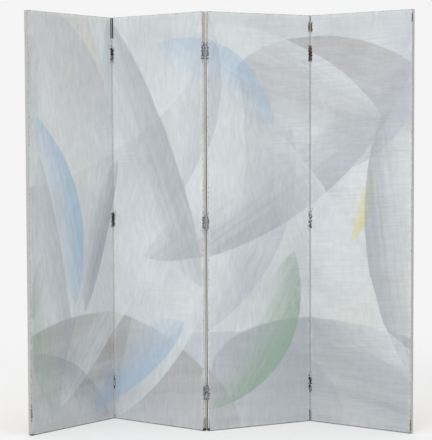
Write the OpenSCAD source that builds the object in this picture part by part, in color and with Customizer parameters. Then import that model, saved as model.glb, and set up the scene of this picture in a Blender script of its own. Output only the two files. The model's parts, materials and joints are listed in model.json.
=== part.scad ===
// Four-panel folding screen: painted canvas stretched over wooden strainers, joined by steel butt hinges.
// Millimetres. X runs along the screen, Y away from the painted side, Z up. The origin is on the floor,
// in the middle of the space that the standing screen takes up.

/* [Panels] */
// Width of one panel over its canvas
panel_w = 508; // [400:1:650]
// Height of one panel over its canvas
panel_h = 1830; // [1200:5:2100]
// Thickness of the wooden strainer
frame_t = 19; // [17:0.5:25]
// Thickness of the primed and painted canvas
canvas_t = 1; // [0.6:0.1:1.4]

/* [Standing pose] */
// Turn of panel 1 from the picture plane, in degrees
panel_1_turn = 49.6; // [25:0.1:80]
// Turn of panel 2
panel_2_turn = 35.9; // [25:0.1:80]
// Turn of panel 3
panel_3_turn = 25.7; // [25:0.1:80]
// Turn of panel 4
panel_4_turn = 35.1; // [25:0.1:80]

/* [Strainer] */
// Width of the two upright stiles
stile_w = 45; // [40:1:60]
// Width of the top and bottom rails
rail_w = 45; // [38:1:60]
// Width of the middle rail
mid_rail_w = 45; // [38:1:60]
// Flat lip round the outside that the canvas touches
lip_w = 6; // [3:0.5:12]
// How far the front slopes back from the canvas inside the lip
front_slope = 1.5; // [0.5:0.5:3]
// How far the middle rail stands back from the canvas
mid_rail_setback = 3; // [2:0.5:4]
// Thickness of the tenons
tenon_t = 6.5; // [5:0.5:8]
// Shoulder left above and below each tenon
tenon_shoulder = 8; // [5:0.5:12]
// Wood left between a mortise and the tips of the hinge screws
mortise_wall = 4; // [3:0.5:8]
// Clearance round a tenon
tenon_clearance = 0.1; // [0.05:0.05:0.3]

/* [Canvas margins] */
// Cloth left beyond the line of tacks on the back
cloth_beyond_tacks = 10; // [8:0.5:20]
// Gap where the margins of two sides meet at a corner
corner_gap = 0.3; // [0.2:0.1:1]

/* [Tacks] */
// Diameter of a tack's head
tack_head_d = 8; // [6:0.5:10]
// Height of a tack's head
tack_head_h = 0.9; // [0.6:0.1:1.6]
// Diameter of a tack's shank
tack_shank_d = 1.6; // [1.2:0.1:2.2]
// Length of a tack's shank
tack_len = 12; // [8:0.5:14]
// Largest distance from one tack to the next
tack_pitch = 95; // [60:1:150]
// Distance of the tacks past the tips of the hinge screws
tack_past_screws = 3; // [2.5:0.5:3.5]

/* [Hinges] */
// Height of a hinge
leaf_h = 63.5; // [50:0.5:90]
// Width of a leaf from the pin's axis to its far edge
leaf_w = 18; // [16:0.5:18]
// Thickness of a leaf
leaf_t = 1.6; // [1.2:0.1:2]
// Gap between two panels, and between their leaves, when they stand in line
panel_gap = 0.6; // [0.4:0.1:1.2]
// Height of the pin's axis over the painted face, at a fold with its barrel in front
front_axis_offset = 0.6; // [0.4:0.1:2]
// Gap between facing tack heads when two panels are folded back to back
folded_tack_gap = 0.6; // [0.4:0.1:3]
// Knuckles of one hinge, counted over both leaves
knuckles = 5; // [3:2:7]
// Gap between one knuckle and the next
knuckle_gap = 0.3; // [0.2:0.05:0.5]
// Clearance round the barrel, which is let into the corners of the panels
barrel_clearance = 0.4; // [0.3:0.1:0.8]
// Diameter of a hinge pin
pin_d = 3; // [2.4:0.1:4]
// Radial clearance of the pin in the knuckles
pin_clearance = 0.05; // [0.02:0.01:0.1]
// Radius by which the riveted ends of the pin stand wider than the pin
pin_rivet = 0.7; // [0.4:0.1:1]
// Height of a riveted pin end
pin_rivet_h = 1; // [0.6:0.1:2]
// Distance of the top and bottom hinges' middles from the ends of the panel
hinge_inset = 168; // [100:1:260]
// Clearance round a leaf in its recess
recess_clearance = 0.2; // [0.1:0.05:0.5]

/* [Hinge screws] */
// Diameter of a screw's shank
screw_d = 3.2; // [2.6:0.1:3.6]
// Diameter of a screw's countersunk head
screw_head_d = 6.2; // [5.6:0.1:7]
// Length of a screw
screw_len = 16; // [12:0.5:18]
// Length of a screw's point
screw_point = 4; // [2:0.5:5]
// Distance of the screws' middles from the long edges of the leaf
screw_row_inset = 4.5; // [3.8:0.1:5]
// Distance of the outer screws' middles from the ends of the leaf
screw_end_inset = 9; // [7:0.5:12]
// Clearance of a screw in the leaf and in the wood
screw_clearance = 0.05; // [0.03:0.01:0.2]
// Width and depth of the slot in a screw's head
slot_size = 0.8; // [0.5:0.1:1]

/* [Hidden] */
$fn = 48;
tiny = 0.01;

panels = 4;
folds = panels - 1;
places = ["top", "middle", "bottom"];
sides = ["left", "right"];

// Turns and headings: each panel's bottom edge heads this way, seen from above, counter-clockwise from +X.
headings = [panel_1_turn, -panel_2_turn, panel_3_turn, -panel_4_turn];

panel_t = frame_t + 2 * canvas_t;
barrel_r = pin_d / 2 + leaf_t;
notch_r = barrel_r + barrel_clearance;
back_axis_offset = tack_head_h + folded_tack_gap / 2;
leaf_reach = panel_gap / 2 + leaf_t;
hinge_z = [panel_h - hinge_inset, panel_h / 2, hinge_inset];

tack_inset = screw_len + tack_past_screws;
turnover_w = tack_inset + cloth_beyond_tacks;
tenon_len = stile_w - screw_len - mortise_wall;
rail_len = panel_w - 2 * (canvas_t + stile_w);
mid_depth = panel_t / 2;

knuckle_h = (leaf_h - (knuckles - 1) * knuckle_gap) / knuckles;
screw_head_h = (screw_head_d - screw_d) / 2;

canvas_colour = [0.80, 0.83, 0.84];
margin_colour = [0.76, 0.74, 0.69];
wood_colour = [0.70, 0.56, 0.40];
steel_colour = [0.36, 0.33, 0.29];
tack_colour = [0.24, 0.24, 0.25];

// Places of the panels and of the fold axes, seen from above.

function turned(angle, p) = [p[0] * cos(angle) - p[1] * sin(angle), p[0] * sin(angle) + p[1] * cos(angle)];

// The fold's barrel is on the painted face at odd folds and on the back at even ones.
function barrel_in_front(fold) = fold % 2 == 1;

function axis_depth(fold) = barrel_in_front(fold) ? -front_axis_offset : panel_t + back_axis_offset;

function chain_corner(n) =
    n == 1 ? [0, 0] : chain_axis(n - 1) - turned(headings[n - 1], [-panel_gap / 2, axis_depth(n - 1)]);

function chain_axis(fold) =
    chain_corner(fold) + turned(headings[fold - 1], [panel_w + panel_gap / 2, axis_depth(fold)]);

chain_outline = [
    for (n = [1:panels])
        for (u = [0, panel_w])
            for (v = [0, panel_t])
                chain_corner(n) + turned(headings[n - 1], [u, v])
];
xs = [for (p = chain_outline) p[0]];
ys = [for (p = chain_outline) p[1]];
middle = [(min(xs) + max(xs)) / 2, (min(ys) + max(ys)) / 2];

function panel_corner(n) = chain_corner(n) - middle;

function fold_axis(fold) = chain_axis(fold) - middle;

// Puts a piece drawn in a panel's own frame in its place. There, X runs along the panel from its left edge,
// Y into its thickness from the painted face, and Z up.
module on_panel(n) {
    translate(panel_corner(n))
        rotate([0, 0, headings[n - 1]])
            children();
}

// Puts a piece at an edge of a panel. There, the origin is on the fold's axis, X runs into the panel
// and Y runs from the axis over the thickness of the edge.
module at_edge(fold, side) {
    on_panel(side == "left" ? fold : fold + 1)
        at_edge_of_panel(fold, side)
            children();
}

module at_edge_of_panel(fold, side) {
    translate([side == "left" ? panel_w + panel_gap / 2 : -panel_gap / 2, axis_depth(fold), 0])
        mirror([side == "left" ? 1 : 0, 0, 0])
            mirror([0, barrel_in_front(fold) ? 0 : 1, 0])
                children();
}

// A bar that runs along X, cut square at its ends, with its section drawn as [depth, height] points.
module bar_along_x(section, length) {
    rotate([90, 0, 90])
        linear_extrude(height = length)
            polygon(section);
}

// Screws: their places on a leaf, as [depth from the axis, height from the hinge's middle].
screw_places = [
    [leaf_w - screw_row_inset, leaf_h / 2 - screw_end_inset],
    [notch_r + screw_row_inset, 0],
    [leaf_w - screw_row_inset, screw_end_inset - leaf_h / 2]
];

module at_screws() {
    for (p = screw_places)
        translate([panel_gap / 2, p[0], p[1]])
            rotate([0, 90, 0])
                children();
}

module at_hinges() {
    for (z = hinge_z)
        translate([0, 0, z])
            children();
}

// What a hinge needs cut from the edge that it sits in: the recess for the leaf, the notch for the barrel
// and the riveted ends of its pin, and the pilot holes.
module hinge_recess() {
    notch_h = leaf_h + 2 * (pin_rivet_h + recess_clearance);
    translate([-panel_gap, 0, -leaf_h / 2 - recess_clearance])
        cube([panel_gap + leaf_reach, leaf_w + recess_clearance, leaf_h + 2 * recess_clearance]);
    cylinder(r = notch_r, h = notch_h, center = true);
}

module hinge_pilot_holes() {
    at_screws()
        cylinder(r = screw_d / 2 + screw_clearance, h = screw_len + screw_clearance);
}

// The folds at a panel's two edges: fold n - 1 is at its left edge, where it holds the right leaf.
module at_panel_hinges(n) {
    if (n > 1)
        at_edge_of_panel(n - 1, "right")
            at_hinges()
                children();
    if (n < panels)
        at_edge_of_panel(n, "left")
            at_hinges()
                children();
}

// Canvas

module canvas_face(n) {
    color(canvas_colour)
        on_panel(n)
            difference() {
                cube([panel_w, canvas_t, panel_h]);
                at_panel_hinges(n) hinge_recess();
            }
}

// The margins of one cloth: each goes over the edge of the strainer and is turned onto its back.
module canvas_margins(n) {
    color(margin_colour)
        on_panel(n)
            difference() {
                union() {
                    for (side = [0, 1])
                        translate([side * panel_w, 0, 0])
                            mirror([side, 0, 0])
                                side_margin();
                    for (end = [0, 1])
                        translate([0, 0, end * panel_h])
                            mirror([0, 0, end])
                                end_margin();
                }
                at_panel_hinges(n) hinge_recess();
            }
}

// The margin at a panel's left edge, over the whole height.
module side_margin() {
    short = canvas_t + corner_gap;
    translate([0, canvas_t, 0])
        cube([canvas_t, panel_t - canvas_t, panel_h]);
    translate([0, panel_t - canvas_t, short])
        cube([turnover_w, canvas_t, panel_h - 2 * short]);
}

// The margin at the foot of a panel, between the two side margins.
module end_margin() {
    over_edge = canvas_t + corner_gap;
    on_back = turnover_w + corner_gap;
    translate([over_edge, canvas_t, 0])
        cube([panel_w - 2 * over_edge, panel_t - canvas_t, canvas_t]);
    translate([on_back, panel_t - canvas_t, 0])
        cube([panel_w - 2 * on_back, canvas_t, turnover_w]);
}

// Strainer

// The wood's section, from its outer edge inwards: a flat lip, then a front that slopes back.
function lipped_section(w) = [
    [canvas_t, canvas_t],
    [canvas_t + lip_w, canvas_t],
    [canvas_t + w, canvas_t + front_slope],
    [canvas_t + w, panel_t - canvas_t],
    [canvas_t, panel_t - canvas_t]
];

// Heights of the middles of the three rails.
rail_z = [canvas_t + rail_w / 2, panel_h / 2, panel_h - canvas_t - rail_w / 2];
rail_widths = [rail_w, mid_rail_w, rail_w];

module tenon_block(width, clearance) {
    length = tenon_len + clearance;
    thickness = tenon_t + 2 * clearance;
    height = width - 2 * tenon_shoulder + 2 * clearance;
    translate([-length, mid_depth - thickness / 2, -height / 2])
        cube([length + tiny, thickness, height]);
}

module stile(n, side) {
    mirrored = side == "right" ? 1 : 0;
    color(wood_colour)
        on_panel(n)
            difference() {
                translate([mirrored * panel_w, 0, canvas_t])
                    mirror([mirrored, 0, 0])
                        linear_extrude(height = panel_h - 2 * canvas_t)
                            polygon(lipped_section(stile_w));
                translate([mirrored * panel_w, 0, 0])
                    mirror([mirrored, 0, 0])
                        for (i = [0:2])
                            translate([canvas_t + stile_w, 0, rail_z[i]])
                                tenon_block(rail_widths[i], tenon_clearance);
                at_panel_hinges(n) {
                    hinge_recess();
                    hinge_pilot_holes();
                }
            }
}

module rail_with_tenons(n, width, z) {
    color(wood_colour)
        on_panel(n) {
            translate([canvas_t + stile_w, 0, 0])
                children();
            for (end = [0, 1])
                translate([end * panel_w, 0, z])
                    mirror([end, 0, 0])
                        translate([canvas_t + stile_w, 0, 0])
                            tenon_block(width, 0);
        }
}

module bottom_rail(n) {
    section = [for (p = lipped_section(rail_w)) [p[1], p[0]]];
    rail_with_tenons(n, rail_w, rail_z[0])
        bar_along_x(section, rail_len);
}

module top_rail(n) {
    section = [for (p = lipped_section(rail_w)) [p[1], panel_h - p[0]]];
    rail_with_tenons(n, rail_w, rail_z[2])
        bar_along_x(section, rail_len);
}

module mid_rail(n) {
    front = canvas_t + mid_rail_setback;
    rail_with_tenons(n, mid_rail_w, rail_z[1])
        translate([0, front, rail_z[1] - mid_rail_w / 2])
            cube([rail_len, panel_t - canvas_t - front, mid_rail_w]);
}

// Tacks

// Evenly spaced places from a to b, both included, no further apart than the pitch.
function spaced(a, b) = let (count = ceil((b - a) / tack_pitch)) [for (i = [0:count]) a + i * (b - a) / count];

function inner(list) = [for (i = [1:len(list) - 2]) list[i]];

tack_places = [
    for (z = spaced(tack_inset, panel_h - tack_inset))
        for (x = [tack_inset, panel_w - tack_inset])
            [x, z],
    for (x = inner(spaced(tack_inset, panel_w - tack_inset)))
        for (z = [tack_inset, panel_h - tack_inset])
            [x, z]
];

// One tack, driven along +Z from the cloth at z = 0, with its head below.
module tack() {
    point = 2 * tack_shank_d;
    translate([0, 0, -tack_head_h])
        cylinder(d1 = 0.6 * tack_head_d, d2 = tack_head_d, h = tack_head_h / 2);
    translate([0, 0, -tack_head_h / 2])
        cylinder(d = tack_head_d, h = tack_head_h / 2);
    cylinder(d = tack_shank_d, h = tack_len - point);
    translate([0, 0, tack_len - point])
        cylinder(d1 = tack_shank_d, d2 = tack_shank_d / 4, h = point);
}

module tacks(n) {
    color(tack_colour)
        on_panel(n)
            for (p = tack_places)
                translate([p[0], panel_t, p[1]])
                    rotate([90, 0, 0])
                        tack();
}

// Hinges

// The left leaf has the first, third and fifth knuckles, and the right leaf has the others.
function knuckle_indices(side) = [for (i = [0:knuckles - 1]) if ((i % 2 == 0) == (side == "left")) i];

function knuckle_base(i) = i * (knuckle_h + knuckle_gap) - leaf_h / 2;

module leaf(fold, place, side) {
    color(steel_colour)
        at_edge(fold, side)
            translate([0, 0, hinge_z[place]])
                difference() {
                    union() {
                        translate([panel_gap / 2, notch_r, -leaf_h / 2])
                            cube([leaf_t, leaf_w - notch_r, leaf_h]);
                        for (i = knuckle_indices(side))
                            translate([0, 0, knuckle_base(i)]) {
                                cylinder(r = barrel_r, h = knuckle_h);
                                translate([panel_gap / 2, 0, 0])
                                    cube([leaf_t, notch_r + tiny, knuckle_h]);
                            }
                    }
                    translate([0, 0, -leaf_h])
                        cylinder(r = pin_d / 2 + pin_clearance, h = 2 * leaf_h);
                    at_screws() countersunk_hole();
                }
}

module countersunk_hole() {
    translate([0, 0, -tiny])
        cylinder(d = screw_d + 2 * screw_clearance, h = leaf_t + 2 * tiny);
    cylinder(
        d1 = screw_head_d + 2 * screw_clearance,
        d2 = screw_d + 2 * screw_clearance,
        h = screw_head_h
    );
}

module screw() {
    difference() {
        union() {
            cylinder(d1 = screw_head_d, d2 = screw_d, h = screw_head_h);
            cylinder(d = screw_d, h = screw_len - screw_point);
            translate([0, 0, screw_len - screw_point])
                cylinder(d1 = screw_d, d2 = screw_d / 4, h = screw_point);
        }
        translate([-screw_head_d, -slot_size / 2, -tiny])
            cube([2 * screw_head_d, slot_size, slot_size]);
    }
}

module screws(fold, side) {
    color(steel_colour)
        at_edge(fold, side)
            at_hinges()
                at_screws()
                    screw();
}

module hinge_pins(fold) {
    color(steel_colour)
        translate(fold_axis(fold))
            at_hinges() {
                cylinder(d = pin_d, h = leaf_h, center = true);
                for (end = [0, 1])
                    mirror([0, 0, end])
                        translate([0, 0, leaf_h / 2])
                            cylinder(r = pin_d / 2 + pin_rivet, h = pin_rivet_h);
            }
}

panel_pieces = [
    "canvas_face", "canvas_margins", "left_stile", "right_stile",
    "top_rail", "mid_rail", "bottom_rail", "tacks"
];

function panel_node(n, piece) = str("panel_", n, "_", piece);

function leaf_node(fold, place, side) = str("fold_", fold, "_", places[place], "_hinge_", side, "_leaf");

function pins_node(fold) = str("fold_", fold, "_hinge_pins");

function screws_node(fold, side) = str("fold_", fold, "_", side, "_screws");

for (n = [1:panels]) {
    canvas_face(n);
    canvas_margins(n);
    stile(n, "left");
    stile(n, "right");
    top_rail(n);
    mid_rail(n);
    bottom_rail(n);
    tacks(n);
}
for (fold = [1:folds]) {
    for (place = [0:2])
        for (side = sides)
            leaf(fold, place, side);
    hinge_pins(fold);
    for (side = sides)
        screws(fold, side);
}
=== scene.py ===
"""A folding screen of four painted canvas panels, dressed over its packed CAD frame.

Metres, in the CAD model's own frame: X along the screen, Y away from the painted side, Z up.
In a panel's own frame X runs from its left edge, Y into its thickness from the painted face, and Z up.
"""

import json
import math
import random

import bmesh
import bpy
from bpy.props import FloatProperty, FloatVectorProperty, PointerProperty
from mathutils import Matrix, Vector

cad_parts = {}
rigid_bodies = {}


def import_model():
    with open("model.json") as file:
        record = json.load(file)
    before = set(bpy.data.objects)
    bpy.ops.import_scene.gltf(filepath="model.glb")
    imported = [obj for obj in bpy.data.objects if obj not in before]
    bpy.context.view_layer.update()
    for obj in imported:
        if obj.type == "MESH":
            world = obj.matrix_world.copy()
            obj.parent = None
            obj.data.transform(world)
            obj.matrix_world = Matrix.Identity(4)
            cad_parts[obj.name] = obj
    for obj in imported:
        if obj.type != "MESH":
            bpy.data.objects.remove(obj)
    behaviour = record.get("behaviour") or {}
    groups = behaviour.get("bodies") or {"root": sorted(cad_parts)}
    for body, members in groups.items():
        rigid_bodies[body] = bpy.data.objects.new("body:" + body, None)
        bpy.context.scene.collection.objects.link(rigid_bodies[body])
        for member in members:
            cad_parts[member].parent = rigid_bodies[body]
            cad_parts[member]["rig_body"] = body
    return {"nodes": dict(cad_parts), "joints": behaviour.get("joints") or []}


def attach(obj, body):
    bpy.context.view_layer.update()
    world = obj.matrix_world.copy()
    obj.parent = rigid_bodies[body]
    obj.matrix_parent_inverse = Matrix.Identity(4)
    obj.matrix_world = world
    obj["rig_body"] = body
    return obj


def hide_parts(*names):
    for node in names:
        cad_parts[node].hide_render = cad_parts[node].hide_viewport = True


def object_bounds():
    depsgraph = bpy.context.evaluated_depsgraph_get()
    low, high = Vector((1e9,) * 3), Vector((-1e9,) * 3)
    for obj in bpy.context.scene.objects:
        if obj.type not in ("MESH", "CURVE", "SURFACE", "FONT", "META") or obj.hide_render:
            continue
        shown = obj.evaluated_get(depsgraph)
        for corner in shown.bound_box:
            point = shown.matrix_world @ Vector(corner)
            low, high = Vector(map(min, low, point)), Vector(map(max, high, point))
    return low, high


bl_info = {
    "name": "Folding Screen",
    "version": (1, 0, 0),
    "blender": (4, 5, 0),
    "location": "View3D > Sidebar > Folding Screen",
    "description": "Dresses a four-panel painted canvas screen over its CAD frame",
    "category": "Add Mesh",
}

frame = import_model()
CAD_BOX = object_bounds()
NODES = frame["nodes"]
JOINTS = {joint["name"]: joint for joint in frame["joints"]}

PANELS = 4
FOLDS = PANELS - 1
PLACES = ("top", "middle", "bottom")
BARS = ("left_stile", "right_stile", "top_rail", "mid_rail", "bottom_rail")


def srgb(red, green, blue):
    """A colour given as it looks on a screen, from 0 to 255, as Blender's linear colour."""
    def linear(value):
        value /= 255
        return value / 12.92 if value <= 0.04045 else ((value + 0.055) / 1.055) ** 2.4
    return (linear(red), linear(green), linear(blue))


# Where the panels stand, read from the CAD nodes

def panel_place(n):
    """The matrix that takes panel n's own frame to its place, and the panel's width."""
    points = [v.co for v in NODES[f"panel_{n}_canvas_face"].data.vertices]
    leftmost = min(points, key=lambda p: p.x)
    rightmost = max(points, key=lambda p: p.x)
    frontmost = min(points, key=lambda p: p.y)
    if leftmost.y < rightmost.y:
        start, end = frontmost, rightmost
    else:
        start, end = leftmost, frontmost
    along = Vector((end.x - start.x, end.y - start.y, 0))
    width = along.length
    along.normalize()
    depth = Vector((-along.y, along.x, 0))
    place = Matrix((along, depth, Vector((0, 0, 1)))).transposed().to_4x4()
    place.translation = Vector((start.x, start.y, 0))
    return place, width


def in_panel(n, node):
    """Lowest and highest corner of a CAD node in panel n's own frame."""
    back = PLACE[n].inverted()
    points = [back @ v.co for v in NODES[node].data.vertices]
    low = Vector([min(p[i] for p in points) for i in range(3)])
    high = Vector([max(p[i] for p in points) for i in range(3)])
    return low, high


PLACE = {n: panel_place(n)[0] for n in range(1, PANELS + 1)}
WIDTH = panel_place(1)[1]
HEIGHT = CAD_BOX[1].z
THICKNESS = in_panel(1, "panel_1_canvas_margins")[1].y


def heading(n):
    """The turn of panel n from +X, in radians, seen from above."""
    along = PLACE[n].col[0]
    return math.atan2(along.y, along.x)


# Settings

def length_setting(name, description, metres):
    """A size that the sidebar shows."""
    return FloatProperty(name=name, description=description, default=metres, unit="LENGTH")


def colour_setting(name, description, red, green, blue):
    """A colour that the sidebar shows, its default given as it looks on a screen."""
    default = srgb(red, green, blue)
    return FloatVectorProperty(
        name=name, description=description, default=default, subtype="COLOR", min=0, max=1)


class ScreenCanvas(bpy.types.PropertyGroup):
    """Sizes of the cloths"""
    thickness: length_setting("Cloth", "Thickness of the primed cloth", 0.0005)
    turnover: length_setting("Turnover", "Width of the margin turned onto the back", 0.029)
    arris: length_setting("Arris", "Radius of the folds over the strainer's edges", 0.0006)
    proud: length_setting("Proud", "How far the cloth stands off the side edges", 0.00025)
    barrel_notch: length_setting("Barrel notch", "Radius cut away round a hinge's barrel", 0.0035)
    clearance: length_setting("Clearance", "Gap between the cloth and a hinge leaf", 0.0002)
    rivet: length_setting("Rivet", "Extra length of a barrel notch at each end", 0.0012)
    sag: length_setting("Sag", "How far the cloth stands in between the bars", 0.0006)
    raggedness: length_setting("Raggedness", "Unevenness of the cut edge on the back", 0.0016)
    thread: length_setting("Thread", "Distance from one thread of the weave to the next", 0.0009)


class ScreenPaint(bpy.types.PropertyGroup):
    """Colours of the painting and of the bare cloth"""
    pale: colour_setting("Pale", "Palest grey", 201, 206, 208)
    ground: colour_setting("Ground", "Grey of the ground", 188, 192, 195)
    shade: colour_setting("Shade", "Darker blue-grey", 156, 162, 167)
    slate: colour_setting("Slate", "Darkest blue-grey accent", 128, 136, 146)
    stone: colour_setting("Stone", "Darker grey that leans to brown", 163, 163, 162)
    sand: colour_setting("Sand", "Warm pale grey", 198, 196, 189)
    lavender: colour_setting("Lavender", "Grey that leans to violet", 173, 176, 186)
    blue: colour_setting("Blue", "Soft blue", 150, 176, 199)
    green: colour_setting("Green", "Soft green", 139, 163, 146)
    ochre: colour_setting("Ochre", "Pale yellow accent", 203, 195, 136)
    primer: colour_setting("Primer", "Primer over the side edges", 220, 221, 219)
    tan: colour_setting("Tan", "Primer worn thin over the cloth", 212, 206, 200)
    # Grime and painted shade on the end margins, stronger at the left end.
    outer: colour_setting("Outer edges", "Greyed primer at the screen's two ends", 173, 173, 172)
    dingy: colour_setting("Dingy", "Primer that the middle fold has dirtied", 172, 168, 163)
    # Painted shade of the narrow gaps along the two outer folds.
    seam: colour_setting("Seam", "Dark line along the two outer folds", 74, 78, 80)
    # This colour also darkens the painted face along its sides, foot and top.
    soil: colour_setting("Soil", "Dirt along the edges", 84, 82, 79)
    rubbed: colour_setting("Rubbed", "Brown where the paint is gone", 104, 82, 66)
    # Black also paints the shade of the gaps along the folds and round the hinges.
    black: colour_setting("Black", "Dirt round the hinges", 20, 20, 19)
    linen: colour_setting("Linen", "Bare cloth on the back", 186, 171, 146)
    aged: colour_setting("Aged linen", "Darkened patches of the bare cloth", 164, 148, 122)
    fleck: colour_setting("Fleck", "Primer that came through the cloth", 206, 198, 184)
    slub: colour_setting("Slub", "Thick dark threads in the cloth", 120, 103, 80)


class ScreenWood(bpy.types.PropertyGroup):
    """The strainers' wood"""
    arris: length_setting("Arris", "Radius of the bars' edges", 0.0008)
    early: colour_setting("Early wood", "Paler wood between the rings", 196, 164, 122)
    late: colour_setting("Late wood", "Darker wood of the rings", 150, 110, 72)
    pore: colour_setting("Pores", "Dark pores along the grain", 120, 88, 58)
    dirt: colour_setting("Dirt", "Grime on the bars", 112, 92, 72)


class ScreenMetal(bpy.types.PropertyGroup):
    """Hinges, screws and tacks"""
    arris: length_setting("Arris", "Radius of the leaves' edges", 0.00025)
    steel: colour_setting("Steel", "Tarnished steel", 52, 50, 48)
    rust: colour_setting("Rust", "Rust on the steel", 104, 72, 52)
    blued: colour_setting("Blued steel", "The tacks' heads", 62, 62, 68)


class ScreenStage(bpy.types.PropertyGroup):
    """Floor, light and camera"""
    backdrop: colour_setting("Backdrop", "Colour of the background", 245, 245, 245)
    floor: colour_setting("Floor", "Colour of the floor", 243, 243, 243)
    grain: colour_setting("Grain", "Colour of the floor's faint grain", 225, 225, 225)
    sky: FloatProperty(
        name="Sky", description="Strength of the light from all round", default=0.62)
    key: FloatProperty(
        name="Key", description="Power of the large lamp in front", default=150, unit="POWER")
    fill: FloatProperty(
        name="Fill", description="Power of the lamp on the other side", default=40, unit="POWER")
    top: FloatProperty(
        name="Top", description="Power of the lamp overhead", default=125, unit="POWER")
    lens: FloatProperty(
        name="Lens", description="Focal length, in millimetres", default=115.61)
    camera_place: FloatVectorProperty(
        name="Camera", description="Place of the camera", default=(-0.01894, -6.2523, 1.25979),
        subtype="TRANSLATION")
    camera_pitch: FloatProperty(
        name="Pitch", description="Tilt of the camera, up being positive", default=math.radians(-3.1009),
        unit="ROTATION")
    camera_roll: FloatProperty(
        name="Roll", description="Turn of the camera about its view", default=math.radians(-0.2064),
        unit="ROTATION")


# Shader nodes

class Shader:
    """A node tree and the short calls that fill it."""

    def __init__(self, tree):
        self.tree = tree
        tree.nodes.clear()

    def node(self, kind, inputs=None, **settings):
        """Adds a node. An input, by name or number, is a value or another node's output."""
        made = self.tree.nodes.new(kind)
        for name, value in settings.items():
            setattr(made, name, value)
        for key, value in (inputs or {}).items():
            if isinstance(value, bpy.types.NodeSocket):
                self.tree.links.new(value, made.inputs[key])
            else:
                made.inputs[key].default_value = value
        return made

    def math(self, operation, a, b=0.0, c=0.0):
        return self.node("ShaderNodeMath", {0: a, 1: b, 2: c}, operation=operation).outputs[0]

    def step(self, value, start, end, low=0.0, high=1.0):
        """Goes smoothly from low at start to high at end."""
        inputs = {"Value": value, "From Min": start, "From Max": end, "To Min": low, "To Max": high}
        return self.node("ShaderNodeMapRange", inputs, interpolation_type="SMOOTHSTEP").outputs["Result"]

    def mix(self, factor, a, b, blend_type="MIX"):
        """Mixes two colours, from a at 0 to b at 1."""
        made = self.node("ShaderNodeMix", {"Factor": factor}, data_type="RGBA", blend_type=blend_type)
        for socket, value in ((made.inputs[6], a), (made.inputs[7], b)):
            if isinstance(value, bpy.types.NodeSocket):
                self.tree.links.new(value, socket)
            else:
                socket.default_value = (*value[:3], 1)
        return made.outputs[2]

    def noise(self, vector, scale, detail=3.0, roughness=0.5, distortion=0.0):
        inputs = {
            "Vector": vector, "Scale": scale, "Detail": detail,
            "Roughness": roughness, "Distortion": distortion,
        }
        return self.node("ShaderNodeTexNoise", inputs).outputs[0]

    def placed(self, vector, location=(0, 0, 0), turn=0.0, size=(1, 1, 1)):
        """Coordinates of a pattern that sits at location, turned about Z, with the given size."""
        inputs = {"Vector": vector, "Location": location, "Rotation": (0, 0, turn), "Scale": size}
        return self.node("ShaderNodeMapping", inputs, vector_type="TEXTURE").outputs[0]

    def uv(self, name):
        return self.node("ShaderNodeUVMap", uv_map=name).outputs[0]

    def object_place(self):
        return self.node("ShaderNodeTexCoord").outputs["Object"]

    def grey(self, value):
        """A colour whose three channels are all the given value."""
        return self.node("ShaderNodeCombineXYZ", {0: value, 1: value, 2: value}).outputs[0]

    def parts(self, vector):
        """The x, y and z of a vector."""
        return self.node("ShaderNodeSeparateXYZ", {0: vector}).outputs[:]

    def bump(self, height, distance, strength=1.0, normal=None):
        inputs = {"Height": height, "Distance": distance, "Strength": strength}
        if normal is not None:
            inputs["Normal"] = normal
        return self.node("ShaderNodeBump", inputs).outputs[0]

    def surface(self, base, roughness, normal, metallic=0.0, specular=0.5):
        inputs = {
            "Base Color": base, "Roughness": roughness, "Normal": normal,
            "Metallic": metallic, "Specular IOR Level": specular,
        }
        shader = self.node("ShaderNodeBsdfPrincipled", inputs)
        self.node("ShaderNodeOutputMaterial", {"Surface": shader.outputs[0]})


def new_shader(name):
    """A new material and the Shader that fills its tree."""
    material = bpy.data.materials.new(name)
    material.use_nodes = True
    return material, Shader(material.node_tree)


# The painting: forms that are crisp on one side and fade to the other

def form_group():
    """A node group that gives how much one painted form covers, from its own coordinates."""
    tree = bpy.data.node_groups.new("painted_form", "ShaderNodeTree")
    for name, kind in (
        ("Place", "NodeSocketVector"), ("Bend", "NodeSocketFloat"), ("Roundness", "NodeSocketFloat"),
        ("Fade", "NodeSocketFloat"), ("Strokes", "NodeSocketFloat"),
    ):
        tree.interface.new_socket(name, in_out="INPUT", socket_type=kind)
    tree.interface.new_socket("Cover", in_out="OUTPUT", socket_type="NodeSocketFloat")
    s = Shader(tree)
    given = s.node("NodeGroupInput").outputs
    x, y, _ = s.parts(given["Place"])
    square = s.math("MULTIPLY", y, y)
    bent = s.math("MULTIPLY_ADD", square, given["Bend"], x)
    brushed = s.noise(s.placed(given["Place"], size=(0.16, 1.1, 1)), 1.0, 6.0, 0.62, 0.3)
    width = s.math("POWER", s.math("ABSOLUTE", bent), given["Roundness"])
    edge = s.math("ADD", width, square)
    inside = s.step(edge, 1.0, 0.955)
    # The faded side is drawn with a drier brush, so the strokes show there.
    dry = s.math("MULTIPLY_ADD", s.math("SUBTRACT", brushed, 0.5), 1.1, bent)
    faded = s.step(dry, -0.95, 0.85)
    kept = s.math("MULTIPLY_ADD", given["Fade"], s.math("SUBTRACT", faded, 1.0), 1.0)
    streaks = s.math("MULTIPLY_ADD", given["Strokes"], s.math("SUBTRACT", brushed, 0.62), 1.0)
    cover = s.math("MULTIPLY", s.math("MULTIPLY", inside, kept), streaks)
    clamped = s.node("ShaderNodeClamp", {0: cover}).outputs[0]
    s.node("NodeGroupOutput", {"Cover": clamped})
    return tree


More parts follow.
